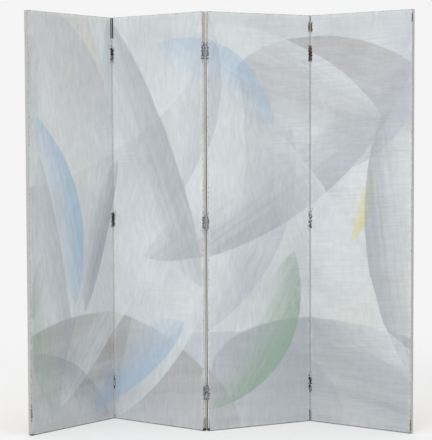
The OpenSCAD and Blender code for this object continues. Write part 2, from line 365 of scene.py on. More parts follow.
# Each form: colour, strength, centre along the four panels and up, half sizes across and along, turn in
# degrees, bend, roundness (1 is a pointed leaf, 2 an oval) and how much of it fades from its crisp side.
FORMS = (
    ("sand", 0.75, (0.16, 1.52), (0.30, 0.50), 12, 0.20, 2.0, 0.8),
    ("sand", 0.70, (1.84, 0.30), (0.26, 0.46), 158, 0.20, 2.0, 0.8),
    ("shade", 0.85, (0.00, 1.12), (0.13, 0.62), 180, 0.10, 1.6, 1.0),
    ("lavender", 0.55, (0.24, 1.56), (0.17, 0.52), 38, 0.45, 1.5, 1.0),
    ("stone", 0.75, (1.72, 1.42), (0.30, 0.62), 74, 0.25, 2.0, 1.0),
    ("pale", 0.75, (0.42, 1.44), (0.24, 0.62), -64, -0.30, 1.4, 0.9),
    ("lavender", 0.60, (1.04, 0.10), (0.34, 0.66), 91, 0.20, 2.0, 1.0),
    ("stone", 0.95, (0.30, 0.08), (0.42, 0.86), 97, 0.35, 2.0, 1.0),
    ("shade", 0.85, (1.78, 0.02), (0.44, 0.80), 82, -0.25, 2.0, 1.0),
    ("shade", 0.55, (0.12, 0.66), (0.09, 0.56), 11, -0.50, 1.2, 1.0),
    ("pale", 0.80, (0.92, 0.78), (0.20, 0.86), -21, 0.45, 1.2, 0.7),
    ("blue", 0.80, (0.20, 0.98), (0.10, 0.44), 16, 0.50, 1.2, 1.0),
    ("pale", 0.65, (0.50, 0.60), (0.13, 0.60), -38, -0.40, 1.2, 0.8),
    ("slate", 0.60, (0.40, 0.86), (0.07, 0.36), -17, -0.50, 1.2, 1.0),
    ("slate", 0.40, (0.22, 0.20), (0.09, 0.34), 58, 0.45, 1.2, 1.0),
    ("shade", 0.75, (0.68, 1.20), (0.17, 0.66), 24, -0.45, 1.2, 1.0),
    ("lavender", 0.60, (1.24, 0.86), (0.14, 0.52), -27, 0.40, 1.3, 1.0),
    ("green", 0.90, (1.30, 0.40), (0.13, 0.40), -31, 0.55, 1.2, 1.0),
    ("shade", 0.70, (1.40, 1.10), (0.17, 0.80), -58, 0.50, 1.3, 1.0),
    ("pale", 0.65, (1.62, 0.74), (0.17, 0.62), 33, -0.50, 1.2, 0.8),
    ("blue", 0.60, (1.08, 1.56), (0.12, 0.34), 58, 0.40, 1.2, 1.0),
    ("shade", 0.45, (0.97, 1.40), (0.10, 0.44), -12, 0.50, 1.2, 1.0),
    ("pale", 0.70, (1.44, 1.60), (0.10, 0.50), 67, 0.35, 1.3, 0.8),
    ("ochre", 0.90, (1.80, 0.98), (0.035, 0.17), -18, 0.35, 1.2, 0.6),
    ("lavender", 0.75, (1.90, 1.46), (0.15, 0.42), -31, 0.40, 1.4, 1.0),
    ("shade", 0.85, (1.93, 0.80), (0.12, 0.60), -172, 0.40, 1.2, 1.0),
    ("pale", 0.45, (1.86, 0.34), (0.11, 0.50), 61, -0.40, 1.2, 0.8),
    ("blue", 0.70, (0.62, 0.30), (0.12, 0.34), -52, -0.40, 1.2, 1.0),
    ("green", 0.40, (0.08, 0.42), (0.09, 0.36), 186, 0.30, 1.3, 1.0),
)


def painting(s, art, paint):
    """The painting's colour, from the place on the cloths laid side by side."""
    wobble = s.noise(art, 9.0, 2.0)
    offset = s.math("MULTIPLY_ADD", wobble, 0.012, -0.006)
    drawn = s.node("ShaderNodeVectorMath", {0: art, 1: offset}, operation="ADD").outputs[0]
    broad = s.noise(s.placed(art, size=(0.5, 0.8, 1)), 1.6, 4.0, 0.55)
    colour = s.mix(s.step(broad, 0.35, 0.68), paint.ground, paint.pale)
    group = form_group()
    for hue, strength, centre, size, turn, bend, roundness, fade in FORMS:
        place = s.placed(drawn, (*centre, 0), math.radians(turn), (*size, 1))
        inputs = {"Place": place, "Bend": bend, "Roundness": roundness, "Fade": fade, "Strokes": 0.9}
        form = s.node("ShaderNodeGroup", inputs, node_tree=group).outputs[0]
        colour = s.mix(s.math("MULTIPLY", form, strength), colour, getattr(paint, hue))
    return colour


def brush_strokes(s, art):
    """Streaks of a brush, mostly upright and bent on the first three panels and level on the last."""
    swing = s.math("MULTIPLY", s.math("SUBTRACT", s.noise(art, 3.0, 1.0), 0.5), 0.22)
    bent = s.node("ShaderNodeVectorMath", {0: art, 1: s.grey(swing)}, operation="ADD").outputs[0]
    upright = s.noise(s.placed(bent, size=(0.009, 0.11, 1)), 1.0, 4.0, 0.6, 0.5)
    level = s.noise(s.placed(art, turn=math.radians(3), size=(0.17, 0.009, 1)), 1.0, 4.0, 0.6, 0.5)
    x, _, _ = s.parts(art)
    lean = s.step(x, 2.4 * WIDTH, 3.4 * WIDTH, 0.12, -0.14)
    where = s.step(s.noise(art, 2.6, 2.0), s.math("ADD", lean, 0.42), s.math("ADD", lean, 0.58))
    return s.node("ShaderNodeMix", {0: where, 2: upright, 3: level}, data_type="FLOAT").outputs[0]


def weave(s, own, thread):
    """Height of the threads that cross in the cloth."""
    x, y, _ = s.parts(own)
    turns = math.tau / thread / 2
    across = s.math("ABSOLUTE", s.math("SINE", s.math("MULTIPLY", x, turns)))
    along = s.math("ABSOLUTE", s.math("SINE", s.math("MULTIPLY", y, turns)))
    slubs = s.noise(s.placed(own, size=(0.05, 0.003, 1)), 1.0, 2.0)
    return s.math("MULTIPLY_ADD", s.math("ADD", across, along), 0.5, slubs)


def from_edges(s, own):
    """Distances from the nearest side, from the foot and from the top of the panel's face, in metres."""
    x, y, _ = s.parts(own)
    side = s.math("MINIMUM", x, s.math("SUBTRACT", WIDTH, x))
    return side, y, s.math("SUBTRACT", HEIGHT, y)


def fold_distance(s, art, folds):
    """Distance from the nearest of the given folds, along the cloths laid side by side, in metres."""
    x, _, _ = s.parts(art)
    nearest = 1.0
    for fold in folds:
        nearest = s.math("MINIMUM", nearest, s.math("ABSOLUTE", s.math("SUBTRACT", x, fold * WIDTH)))
    return nearest


def patch(s, place, centre, size, ragged):
    """1 in a ragged patch of the given half sizes, 0 round it."""
    x, y, _ = s.parts(s.placed(place, (*centre, 0), 0.0, (*size, 1)))
    reach = s.math("MAXIMUM", s.math("ABSOLUTE", x), s.math("ABSOLUTE", y))
    specks = s.noise(place, 130.0, 2.0, 0.6)
    broken = s.math("MULTIPLY_ADD", s.math("SUBTRACT", specks, 0.5), 4 * ragged, reach)
    return s.step(broken, 1.03, 0.93)


# Marks along the folds, and along the screen's two ends, which count as folds 0 and 4: fold, height,
# half sizes, raggedness, colour and strength.
# The rubbed marks are wear; the black ones are dirt together with painted shade of the gaps round the hinge
# barrels, at the feet of the folds and along the top of fold 1.
FOLD_MARKS = (
    (0, 0.100, (0.0045, 0.030), 0.8, "rubbed", 0.75),
    (0, 0.002, (0.0140, 0.005), 0.3, "black", 0.80),
    (1, 1.782, (0.0080, 0.047), 0.05, "black", 1.00),
    (1, 1.662, (0.0080, 0.030), 0.9, "black", 1.00),
    (1, 0.915, (0.0090, 0.031), 0.9, "black", 1.00),
    (1, 0.168, (0.0045, 0.028), 1.2, "black", 0.90),
    (1, 0.006, (0.0040, 0.012), 0.3, "black", 0.60),
    (2, 1.765, (0.0022, 0.064), 0.3, "soil", 0.30),
    (2, 1.655, (0.0050, 0.026), 1.4, "black", 0.75),
    (2, 0.915, (0.0036, 0.022), 1.5, "black", 0.80),
    (2, 0.168, (0.0030, 0.022), 1.4, "rubbed", 0.75),
    (2, 0.022, (0.0030, 0.026), 0.9, "rubbed", 0.45),
    (2, 0.004, (0.0050, 0.009), 0.4, "black", 0.90),
    (3, 1.777, (0.0095, 0.021), 0.5, "rubbed", 1.00),
    (3, 1.812, (0.0030, 0.017), 0.2, "black", 0.80),
    (3, 1.662, (0.0085, 0.034), 0.4, "rubbed", 0.95),
    (3, 1.648, (0.0080, 0.022), 0.8, "black", 0.90),
    (3, 0.915, (0.0065, 0.030), 1.2, "black", 1.00),
    (3, 0.168, (0.0060, 0.031), 1.1, "black", 1.00),
    (3, 0.018, (0.0050, 0.034), 0.3, "rubbed", 0.90),
    (4, 1.795, (0.0040, 0.018), 0.6, "rubbed", 0.80),
    (4, 0.035, (0.0050, 0.028), 0.6, "rubbed", 0.80),
)


def with_fold_marks(s, colour, art, paint):
    """Adds the wear and dirt that the hinges and the corners have left along the folds, and the painted
    shade of the gaps there.
    """
    mottle = s.step(s.noise(art, 250.0, 3.0, 0.6), 0.45, 0.58, 0.0, 0.85)
    for fold, height, size, ragged, hue, strength in FOLD_MARKS:
        cover = patch(s, art, (fold * WIDTH, height), size, ragged)
        # For the black marks this is dirt and painted shade together.
        dirt = s.mix(mottle, getattr(paint, hue), paint.black)
        colour = s.mix(s.math("MULTIPLY", cover, strength), colour, dirt)
    return colour


def with_chips(s, colour, own, distance, paint):
    """Chips the paint within a few millimetres of an arris."""
    chipped = s.step(s.noise(own, 95.0, 4.0, 0.65), 0.55, 0.60)
    near = s.step(distance, 0.0050, 0.0022)
    return s.mix(s.math("MULTIPLY", s.math("MULTIPLY", chipped, near), 0.55), colour, paint.rubbed)


def painted_material(paint, canvas):
    """Matt paint on primed cloth, darker along its edges and worn through at the folds, with painted shade
    in the seams of the two outer folds and in the gaps round the hinges.
    """
    material, s = new_shader("painted_canvas")
    art = s.uv("artwork")
    own = s.uv("panel")
    strokes = brush_strokes(s, art)
    clouds = s.noise(art, 5.0, 5.0, 0.6)
    scumble = s.noise(s.placed(art, size=(0.6, 1.4, 1)), 24.0, 5.0, 0.65)
    tone = 1.0
    for pattern, amount in ((strokes, 0.35), (clouds, 0.08), (scumble, 0.23)):
        tone = s.math("ADD", tone, s.math("MULTIPLY", s.math("SUBTRACT", pattern, 0.5), amount))
    colour = s.mix(1.0, painting(s, art, paint), s.grey(tone), "MULTIPLY")
    side, foot, top = from_edges(s, own)
    rub = s.noise(s.placed(own, size=(0.02, 0.05, 1)), 1.0, 5.0, 0.65)
    near = s.math("MINIMUM", s.math("MINIMUM", side, foot), top)
    greyed = s.math("MULTIPLY", s.step(near, 0.024, 0.0), s.step(rub, 0.4, 0.75))
    colour = s.mix(s.math("MULTIPLY", greyed, 0.5), colour, paint.primer)
    # Darker along the sides, the foot and the top of the face, most along the foot.
    darkened_edges = ((side, 0.0026, 0.20), (foot, 0.0060, 0.85), (top, 0.0026, 0.30))
    for distance, reach, strength in darkened_edges:
        worn = s.math("MULTIPLY", s.step(distance, reach, reach * 0.3), s.step(rub, 0.25, 0.55, 0.4, 1.0))
        colour = s.mix(s.math("MULTIPLY", worn, strength), colour, paint.soil)
    colour = with_chips(s, colour, own, near, paint)
    # Painted shade of the narrow gap along folds 1 and 3, broken up by the rub noise.
    seam = s.step(fold_distance(s, art, (1, 3)), 0.0042, 0.0012)
    seam = s.math("MULTIPLY", seam, s.step(rub, 0.25, 0.55, 0.45, 0.75))
    colour = s.mix(seam, colour, paint.seam)
    colour = with_fold_marks(s, colour, art, paint)
    normal = s.bump(weave(s, own, canvas.thread), 0.00012, 0.5)
    normal = s.bump(strokes, 0.0005, 0.5, normal)
    roughness = s.math("MULTIPLY_ADD", strokes, 0.2, 0.58)
    s.surface(colour, roughness, normal, specular=0.3)
    return material


def with_outer_ends(s, colour, art, paint):
    """Greys the side margins at the screen's two ends with grime and painted shade, stronger at the left
    end, which the key lamp lights most.
    """
    x, _, _ = s.parts(art)
    # The left end takes more painted shade, as the key lamp lights it most.
    for end, way, amount in ((PANELS * WIDTH, 1, 0.75), (0.0, -1, 0.95)):
        outer = s.math("MULTIPLY", s.math("SUBTRACT", x, end), way)
        colour = s.mix(s.step(outer, -0.04, -0.01, 0.0, amount), colour, paint.outer)
    return colour


def with_middle_fold(s, colour, art, beyond, paint):
    """Soils the two edges that show in the middle fold and paints the shade of the gap between them, beyond
    being the distance past the face's arris.
    """
    fold = 2 * WIDTH
    # Painted shade of the gap where the edges meet behind, in black, but not at the top. On the cloths laid
    # side by side, panel 3's edge comes before the fold and panel 2's after it, and the painted shade is
    # wider on panel 3's.
    on_edge = s.step(beyond, THICKNESS + 0.0040, THICKNESS + 0.0020)
    for way, wide in ((-1, 0.0105), (1, 0.0030)):
        behind = s.step(beyond, THICKNESS - wide, THICKNESS - wide + 0.0020)
        below_top = patch(s, art, (fold + way * 0.026, 0.80), (0.026, 0.86), 0.05)
        line = s.math("MULTIPLY", s.math("MULTIPLY", behind, on_edge), below_top)
        colour = s.mix(s.math("MULTIPLY", line, 0.97), colour, paint.black)
    # Worn and black at the foot, smudged black at each hinge, the black being dirt and painted shade of the
    # gap and round the barrels: centre, half sizes, raggedness, colour and strength
    hinges = (1.655, 0.915, 0.168)
    spots = [
        ((fold + 0.010, 0.022), (0.012, 0.036), 0.4, "rubbed", 0.45),
        ((fold, 0.0), (0.05, 0.012), 0.4, "black", 0.85),
    ]
    spots += [((fold, height), (0.022, 0.034), 1.3, "black", 0.40) for height in hinges]
    for centre, size, ragged, hue, strength in spots:
        spot = patch(s, art, centre, size, ragged)
        colour = s.mix(s.math("MULTIPLY", spot, strength), colour, getattr(paint, hue))
    return colour


def margin_material(paint, canvas):
    """Primer over the edges of the panel, worn and dirtied, with painted shade in the middle fold and at
    the screen's two ends, which ends in bare cloth on the back.
    """
    material, s = new_shader("canvas_margin")
    art = s.uv("artwork")
    own = s.uv("panel")
    side, foot, top = from_edges(s, own)
    beyond = s.math("MULTIPLY", s.math("MINIMUM", s.math("MINIMUM", side, foot), top), -1.0)
    dabs = s.noise(own, 38.0, 5.0, 0.6)
    ragged = s.math("MULTIPLY_ADD", dabs, 0.03, beyond)
    bare = s.step(ragged, THICKNESS + 0.012, THICKNESS + 0.017)
    stain = s.noise(s.placed(art, size=(0.03, 0.16, 1)), 1.0, 5.0, 0.6)
    colour = s.mix(s.step(stain, 0.42, 0.68), paint.primer, paint.tan)
    colour = with_outer_ends(s, colour, art, paint)
    dirty = patch(s, art, (2 * WIDTH, 1.90), (0.05, 0.27), 0.3)
    colour = s.mix(s.math("MULTIPLY", dirty, 0.6), colour, paint.dingy)
    colour = s.mix(bare, colour, paint.linen)
    grime = s.step(s.noise(own, 120.0, 6.0, 0.7), 0.55, 0.75)
    colour = s.mix(s.math("MULTIPLY", grime, 0.4), colour, paint.soil)
    arris = s.step(beyond, 0.0016, 0.0004, 0.0, 0.2)
    colour = s.mix(arris, colour, paint.soil)
    colour = with_chips(s, colour, own, beyond, paint)
    colour = with_middle_fold(s, colour, art, beyond, paint)
    colour = with_fold_marks(s, colour, art, paint)
    normal = s.bump(weave(s, own, canvas.thread), 0.0002, 0.8)
    s.surface(colour, 0.88, normal, specular=0.2)
    return material


def linen_material(paint, canvas):
    """The cloth's inner side: bare linen, darkened by age, with primer that came through."""
    material, s = new_shader("bare_linen")
    art = s.uv("artwork")
    own = s.uv("panel")
    threads = weave(s, own, canvas.thread)
    aged = s.noise(art, 1.8, 7.0, 0.6)
    colour = s.mix(s.step(aged, 0.3, 0.75), paint.linen, paint.aged)
    flecks = s.step(s.noise(own, 240.0, 4.0, 0.6), 0.6, 0.7)
    colour = s.mix(s.math("MULTIPLY", flecks, 0.3), colour, paint.fleck)
    slubs = s.noise(s.placed(own, size=(0.06, 0.0022, 1)), 1.0, 3.0)
    colour = s.mix(s.step(slubs, 0.6, 0.8, 0.0, 0.35), colour, paint.slub)
    normal = s.bump(threads, 0.0003, 0.9)
    s.surface(colour, 0.92, normal, specular=0.15)
    return material


def wood_material(name, n, upright, shift, wood):
    """Planed softwood whose grain runs along the bar."""
    material, s = new_shader(name)
    size = (0.010, 0.016, 0.9) if upright else (0.9, 0.016, 0.010)
    place = s.placed(s.object_place(), (shift, shift * 0.37, 0), heading(n), size)
    rings = s.noise(place, 1.0, 3.0, 0.45, 0.6)
    bands = s.math("ABSOLUTE", s.math("SINE", s.math("MULTIPLY", rings, 34.0)))
    colour = s.mix(s.step(bands, 0.25, 0.95, 0.0, 0.8), wood.early, wood.late)
    pores = s.noise(place, 14.0, 3.0, 0.6)
    colour = s.mix(s.step(pores, 0.55, 0.75, 0.0, 0.4), colour, wood.pore)
    dirt = s.noise(s.object_place(), 11.0, 5.0, 0.65)
    colour = s.mix(s.step(dirt, 0.5, 0.75, 0.0, 0.45), colour, wood.dirt)
    normal = s.bump(s.math("ADD", bands, pores), 0.0003, 0.5)
    roughness = s.math("MULTIPLY_ADD", dirt, 0.2, 0.6)
    s.surface(colour, roughness, normal, specular=0.3)
    return material


# Metal

# Shares of each hinge, and of the screws, that rust and paint cover
HINGE_FINISH = {
    (1, "top"): (0.15, 0.25),
    (1, "middle"): (0.0, 0.2),
    (1, "bottom"): (0.1, 0.65),
    (2, "top"): (0.2, 1.0),
    (2, "middle"): (0.1, 1.0),
    (2, "bottom"): (0.5, 0.8),
    (3, "top"): (0.8, 0.15),
    (3, "middle"): (0.1, 0.6),
    (3, "bottom"): (0.0, 0.45),
}
SCREW_FINISH = (0.15, 0.2)


def steel_material(name, metal, paint, rust, painted):
    """Tarnished steel, with the given shares of it rusted and smeared with paint."""
    material, s = new_shader(name)
    place = s.object_place()
    patches = s.noise(place, 100.0, 3.0, 0.6, 0.4)
    fine = s.noise(place, 600.0, 4.0, 0.6)
    rusted = s.step(patches, 0.66 - 0.3 * rust, 0.72 - 0.3 * rust)
    colour = s.mix(rusted, metal.steel, metal.rust)
    colour = s.mix(s.step(fine, 0.5, 0.75, 0.0, 0.6), colour, paint.black)
    smear = s.step(s.noise(place, 120.0, 3.0, 0.6), 0.66 - 0.3 * painted, 0.68 - 0.3 * painted)
    colour = s.mix(s.math("MULTIPLY", smear, 0.9), colour, paint.ground)
    specks = s.step(s.noise(place, 280.0, 2.0, 0.5), 0.52, 0.57, 0.0, 0.75)
    colour = s.mix(specks, colour, paint.black)
    covered = s.math("MAXIMUM", rusted, smear)
    metallic = s.math("MULTIPLY_ADD", covered, -0.85, 0.85)
    roughness = s.math("MULTIPLY_ADD", covered, 0.35, 0.42)
    normal = s.bump(s.math("ADD", patches, fine), 0.0002, 0.6)
    s.surface(colour, roughness, normal, metallic)
    return material


def tack_material(metal):
    """Blued steel, rubbed bright and spotted with rust."""
    material, s = new_shader("blued_tacks")
    place = s.object_place()
    spots = s.noise(place, 160.0, 5.0, 0.6)
    rusted = s.step(spots, 0.52, 0.64)
    colour = s.mix(rusted, metal.blued, metal.rust)
    metallic = s.math("MULTIPLY_ADD", rusted, -0.7, 0.85)
    roughness = s.math("MULTIPLY_ADD", spots, 0.4, 0.25)
    s.surface(colour, roughness, s.bump(spots, 0.0003, 0.5), metallic)
    return material


# Canvases: each is cut flat, then folded over its strainer

# Material numbers of the cloth's outer side, and how much higher those of its inner side are
FACE, SIDE_MARGIN, END_MARGIN = 0, 1, 2
LININGS = 3

# Cells of the face, and the border of it that lies flat on the strainer's lip
CELLS_ACROSS = 16
CELLS_UP = 48
FLAT_BORDER = 0.01

# Distances within which two places count as one: at a cut, all over the cloth, and at its turned edges
AT_A_CUT = 1e-7
TINY = 1e-6
CLOSE = 1e-4


def cut_line(mesh, geometry, point, direction):
    """Adds an edge where a plane crosses the cloth."""
    bmesh.ops.bisect_plane(mesh, geom=geometry, dist=AT_A_CUT, plane_co=point, plane_no=direction)


def cut_away(mesh, low, high):
    """Cuts a window from the flat cloth, low and high being its corners as (x, z)."""
    gone = []
    for face in mesh.faces:
        middle = face.calc_center_median()
        if low[0] < middle.x < high[0] and low[1] < middle.z < high[1]:
            gone.append(face)
    bmesh.ops.delete(mesh, geom=gone, context="FACES")


def hinge_windows(n, canvas):
    """Windows that the hinges need in panel n's flat cloth, each as its lowest and highest corner."""
    windows = []
    for fold, side in ((n - 1, "right"), (n, "left")):
        if not 1 <= fold <= FOLDS:
            continue
        axis = PLACE[n].inverted() @ Vector(JOINTS[f"fold_{fold}"]["pos_m"])
        gap = -axis.x if side == "right" else axis.x - WIDTH
        for place in PLACES:
            low, high = in_panel(n, f"fold_{fold}_{place}_hinge_{side}_leaf")
            beyond_leaf = canvas.clearance
            reach_sideways = math.sqrt(canvas.barrel_notch ** 2 - gap ** 2)
            if axis.y < 0:
                chord = math.sqrt(canvas.barrel_notch ** 2 - axis.y ** 2) - gap
                notch = (-chord, axis.y + reach_sideways)
                leaf = (0, high.y + beyond_leaf)
            else:
                over = axis.y - THICKNESS
                chord = math.sqrt(canvas.barrel_notch ** 2 - over ** 2) - gap
                notch = (axis.y - reach_sideways, THICKNESS + chord)
                leaf = (low.y - beyond_leaf, THICKNESS)
            for (near, far), taller in ((notch, canvas.rivet), (leaf, beyond_leaf)):
                ends = (-far, -near) if side == "right" else (WIDTH + near, WIDTH + far)
                windows.append(((ends[0], low.z - taller), (ends[1], high.z + taller)))
    return windows


def flat_cloth(n, canvas):
    """Panel n's cloth before it is folded, in the panel's own frame and the painted face's plane."""
    reach = THICKNESS + canvas.turnover
    mesh = bmesh.new()
    bmesh.ops.create_grid(mesh, x_segments=1, y_segments=1, size=0.5)
    bmesh.ops.scale(mesh, vec=(WIDTH + 2 * reach, HEIGHT + 2 * reach, 1), verts=mesh.verts)
    bmesh.ops.rotate(mesh, matrix=Matrix.Rotation(math.radians(90), 3, "X"), verts=mesh.verts)
    bmesh.ops.translate(mesh, vec=(WIDTH / 2, 0, HEIGHT / 2), verts=mesh.verts)
    windows = hinge_windows(n, canvas)
    short = 3 * canvas.thickness
    # The side margins dip under the end margins within this distance past them.
    ramp = 0.008
    xs = [-THICKNESS, 0, WIDTH, WIDTH + THICKNESS]
    zs = [-THICKNESS, 0, short, canvas.turnover, canvas.turnover + ramp]
    zs += [HEIGHT - z for z in zs]
    for low, high in windows:
        xs += [low[0], high[0]]
        zs += [low[1], high[1]]
    xs += [WIDTH * i / CELLS_ACROSS for i in range(1, CELLS_ACROSS)]
    zs += [HEIGHT * i / CELLS_UP for i in range(1, CELLS_UP)]
    for x in sorted({round(x, 6) for x in xs}):
        cut_line(mesh, mesh.verts[:] + mesh.edges[:] + mesh.faces[:], (x, 0, 0), (1, 0, 0))
    for z in sorted({round(z, 6) for z in zs}):
        cut_line(mesh, mesh.verts[:] + mesh.edges[:] + mesh.faces[:], (0, 0, z), (0, 0, 1))
    # The corners go, so that the margins can be folded. On the back the side margins run on under the
    # end margins, whose corners are mitred.
    far = 2 * HEIGHT
    for low_x, high_x in ((-far, 0), (WIDTH, far)):
        for low_z, high_z in ((-far, 0), (HEIGHT, far)):
            cut_away(mesh, (low_x, low_z), (high_x, high_z))
    for low_x, high_x in ((-far, -THICKNESS), (WIDTH + THICKNESS, far)):
        for low_z, high_z in ((-far, short), (HEIGHT - short, far)):
            cut_away(mesh, (low_x, low_z), (high_x, high_z))
    for x, inward in ((0, 1), (WIDTH, -1)):
        for z, outward in ((-THICKNESS, -1), (HEIGHT + THICKNESS, 1)):
            strip = [face for face in mesh.faces if (face.calc_center_median().z - z) * outward > 0]
            edges = {edge for face in strip for edge in face.edges}
            verts = {vert for face in strip for vert in face.verts}
            geometry = strip + list(edges) + list(verts)
            line = Vector((inward, 0, -outward))
            cut_line(mesh, geometry, (x, 0, z), line)
            gone = []
            for face in mesh.faces:
                middle = face.calc_center_median()
                if (middle.z - z) * outward > 0 and (middle - Vector((x, 0, z))).dot(line) < 0:
                    gone.append(face)
            bmesh.ops.delete(mesh, geom=gone, context="FACES")
    for low, high in windows:
        cut_away(mesh, low, high)
    return mesh


def lay_out(mesh, n):
    """Gives the flat cloth its two UV maps, in metres: one of the panel, one that runs on over all four."""
    own = mesh.loops.layers.uv.new("panel")
    art = mesh.loops.layers.uv.new("artwork")
    for face in mesh.faces:
        for loop in face.loops:
            x, z = loop.vert.co.x, loop.vert.co.z
            loop[own].uv = (x, z)
            loop[art].uv = (x + (n - 1) * WIDTH, z)


def fold_over(mesh, hinge_line, axis, outward, angle):
    """Folds what lies outward of a line about it, as cloth is folded over an edge."""
    folded = [v for v in mesh.verts if (v.co - hinge_line).dot(outward) > TINY]
    bmesh.ops.rotate(mesh, cent=hinge_line, matrix=Matrix.Rotation(angle, 3, axis), verts=folded)


def fold_margins(mesh):
    """Folds the four margins over the strainer's edges and onto its back."""
    quarter = math.radians(90)
    for x, outward, angle in ((0, -1, -quarter), (WIDTH, 1, quarter)):
        away = Vector((outward, 0, 0))
        at_second = Vector((x + outward * THICKNESS, 0, 0))
        fold_over(mesh, at_second, "Z", away, angle)
        fold_over(mesh, Vector((x, 0, 0)), "Z", away, angle)
    for z, outward, angle in ((0, -1, quarter), (HEIGHT, 1, -quarter)):
        away = Vector((0, 0, outward))
        at_second = Vector((0, 0, z + outward * THICKNESS))
        fold_over(mesh, at_second, "X", away, angle)
        fold_over(mesh, Vector((0, 0, z)), "X", away, angle)


def close_corners(mesh):
    """Joins side and end margins where they meet at the panel's four corners."""
    meeting = []
    for vert in mesh.verts:
        on_side = min(abs(vert.co.x), abs(vert.co.x - WIDTH)) < TINY
        on_end = min(abs(vert.co.z), abs(vert.co.z - HEIGHT)) < TINY
        if on_side and on_end:
            meeting.append(vert)
    bmesh.ops.remove_doubles(mesh, verts=meeting, dist=TINY)


def round_folds(mesh, radius):
    """Rounds the cloth where it goes over the strainer's edges."""
    folds = []
    for edge in mesh.edges:
        if len(edge.link_faces) == 2 and edge.calc_face_angle() > math.radians(60):
            folds.append(edge)
    bmesh.ops.bevel(
        mesh, geom=folds, offset=radius, offset_type="OFFSET", affect="EDGES",
        segments=3, profile=0.5, material=-1, clamp_overlap=True,
    )


def settle(mesh, n, canvas):
    """Sags the face, stands the side edges proud, and tucks the side margins under the end margins."""
    under = canvas.thickness * 1.1
    for vert in mesh.verts:
        x, y, z = vert.co
        side = min(x, WIDTH - x)
        end = min(z, HEIGHT - z)
        on_side_margin = all(face.material_index == SIDE_MARGIN for face in vert.link_faces)
        if y < TINY and side > FLAT_BORDER and end > FLAT_BORDER:
            across = min(1, 1.6 * math.sin(math.pi * x / WIDTH))
            up = min(1, 1.6 * abs(math.sin(math.tau * z / HEIGHT)))
            vert.co.y += canvas.sag * across * up
        elif side < TINY:
            vert.co.x += -canvas.proud if x < WIDTH / 2 else canvas.proud
        elif y > THICKNESS - TINY and end < canvas.turnover + CLOSE and on_side_margin:
            vert.co.y -= under
    ragged_edges(mesh, canvas, random.Random(n))


def ragged_edges(mesh, canvas, rng):
    """Moves the cut edges on the back in and out a little, as scissors leave them."""
    for vert in mesh.verts:
        x, y, z = vert.co
        if y < THICKNESS - 0.001 or not vert.is_boundary:
            continue
        side = min(x, WIDTH - x)
        end = min(z, HEIGHT - z)
        push = rng.uniform(-1, 1) * canvas.raggedness
        if abs(side - canvas.turnover) < CLOSE and end > canvas.turnover + 0.02:
            vert.co.x += push
        elif abs(end - canvas.turnover) < CLOSE and side > canvas.turnover + 0.005:
            vert.co.z += push


def mark_finishes(mesh):
    """Gives the face and the margins their material numbers, while the cloth is flat."""
    for face in mesh.faces:
        middle = face.calc_center_median()
        if not 0 < middle.x < WIDTH:
            face.material_index = SIDE_MARGIN
        elif not 0 < middle.z < HEIGHT:
            face.material_index = END_MARGIN
        else:
            face.material_index = FACE


def new_piece(name, mesh, materials):
    """Makes an object of a bmesh, which is used up."""
    data = bpy.data.meshes.new(name)
    mesh.to_mesh(data)
    mesh.free()
    for material in materials:
        data.materials.append(material)
    for polygon in data.polygons:
        polygon.use_smooth = True
    data.set_sharp_from_angle(angle=math.radians(28))
    piece = bpy.data.objects.new(name, data)
    bpy.context.scene.collection.objects.link(piece)
    return piece


def make_canvas(n, canvas, materials):
    """Panel n's cloth: the painted face and its four margins, in one piece."""
    mesh = flat_cloth(n, canvas)
    lay_out(mesh, n)
    mark_finishes(mesh)
    fold_margins(mesh)
    close_corners(mesh)
    settle(mesh, n, canvas)
    round_folds(mesh, canvas.arris)
    bmesh.ops.transform(mesh, matrix=PLACE[n], verts=mesh.verts)
    piece = new_piece(f"panel_{n}_canvas", mesh, materials)
    solid = piece.modifiers.new("Cloth", "SOLIDIFY")
    solid.thickness = canvas.thickness
    solid.offset = -1
    solid.use_even_offset = False
    solid.material_offset = LININGS
    solid.material_offset_rim = LININGS
    piece.modifiers.new("Normals", "WEIGHTED_NORMAL").keep_sharp = True
    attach(piece, f"panel_{n}")
    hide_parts(f"panel_{n}_canvas_face", f"panel_{n}_canvas_margins")


# Strainers, hinges and tacks

# Edges shorter than these stay sharp.
SHORTEST_BAR_EDGE = 0.008
SHORTEST_LEAF_EDGE = 0.0012

# Corners of a CAD mesh that are nearer to each other than this are one.
ONE_CORNER = 1e-5


def softened(node, name, radius, shortest, material):
    """A copy of a CAD node with its long outer edges rounded, which stands for the node."""
    mesh = bmesh.new()
    mesh.from_mesh(NODES[node].data)
    bmesh.ops.remove_doubles(mesh, verts=mesh.verts, dist=ONE_CORNER)
    bmesh.ops.dissolve_limit(mesh, angle_limit=math.radians(0.5), verts=mesh.verts, edges=mesh.edges)
    sharp = []
    for edge in mesh.edges:
        if len(edge.link_faces) == 2 and edge.calc_length() > shortest:
            if edge.calc_face_angle_signed() > math.radians(50):
                sharp.append(edge)
    bmesh.ops.bevel(
        mesh, geom=sharp, offset=radius, offset_type="OFFSET", affect="EDGES",
        segments=2, profile=0.5, material=-1, clamp_overlap=True,
    )
    piece = new_piece(name, mesh, [material])
    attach(piece, NODES[node]["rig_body"])
    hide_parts(node)
    return piece


def finish_node(node, material):
    """Gives a CAD node that stays its material."""
    data = NODES[node].data
    data.materials.clear()
    data.materials.append(material)
    for polygon in data.polygons:
        polygon.material_index = 0


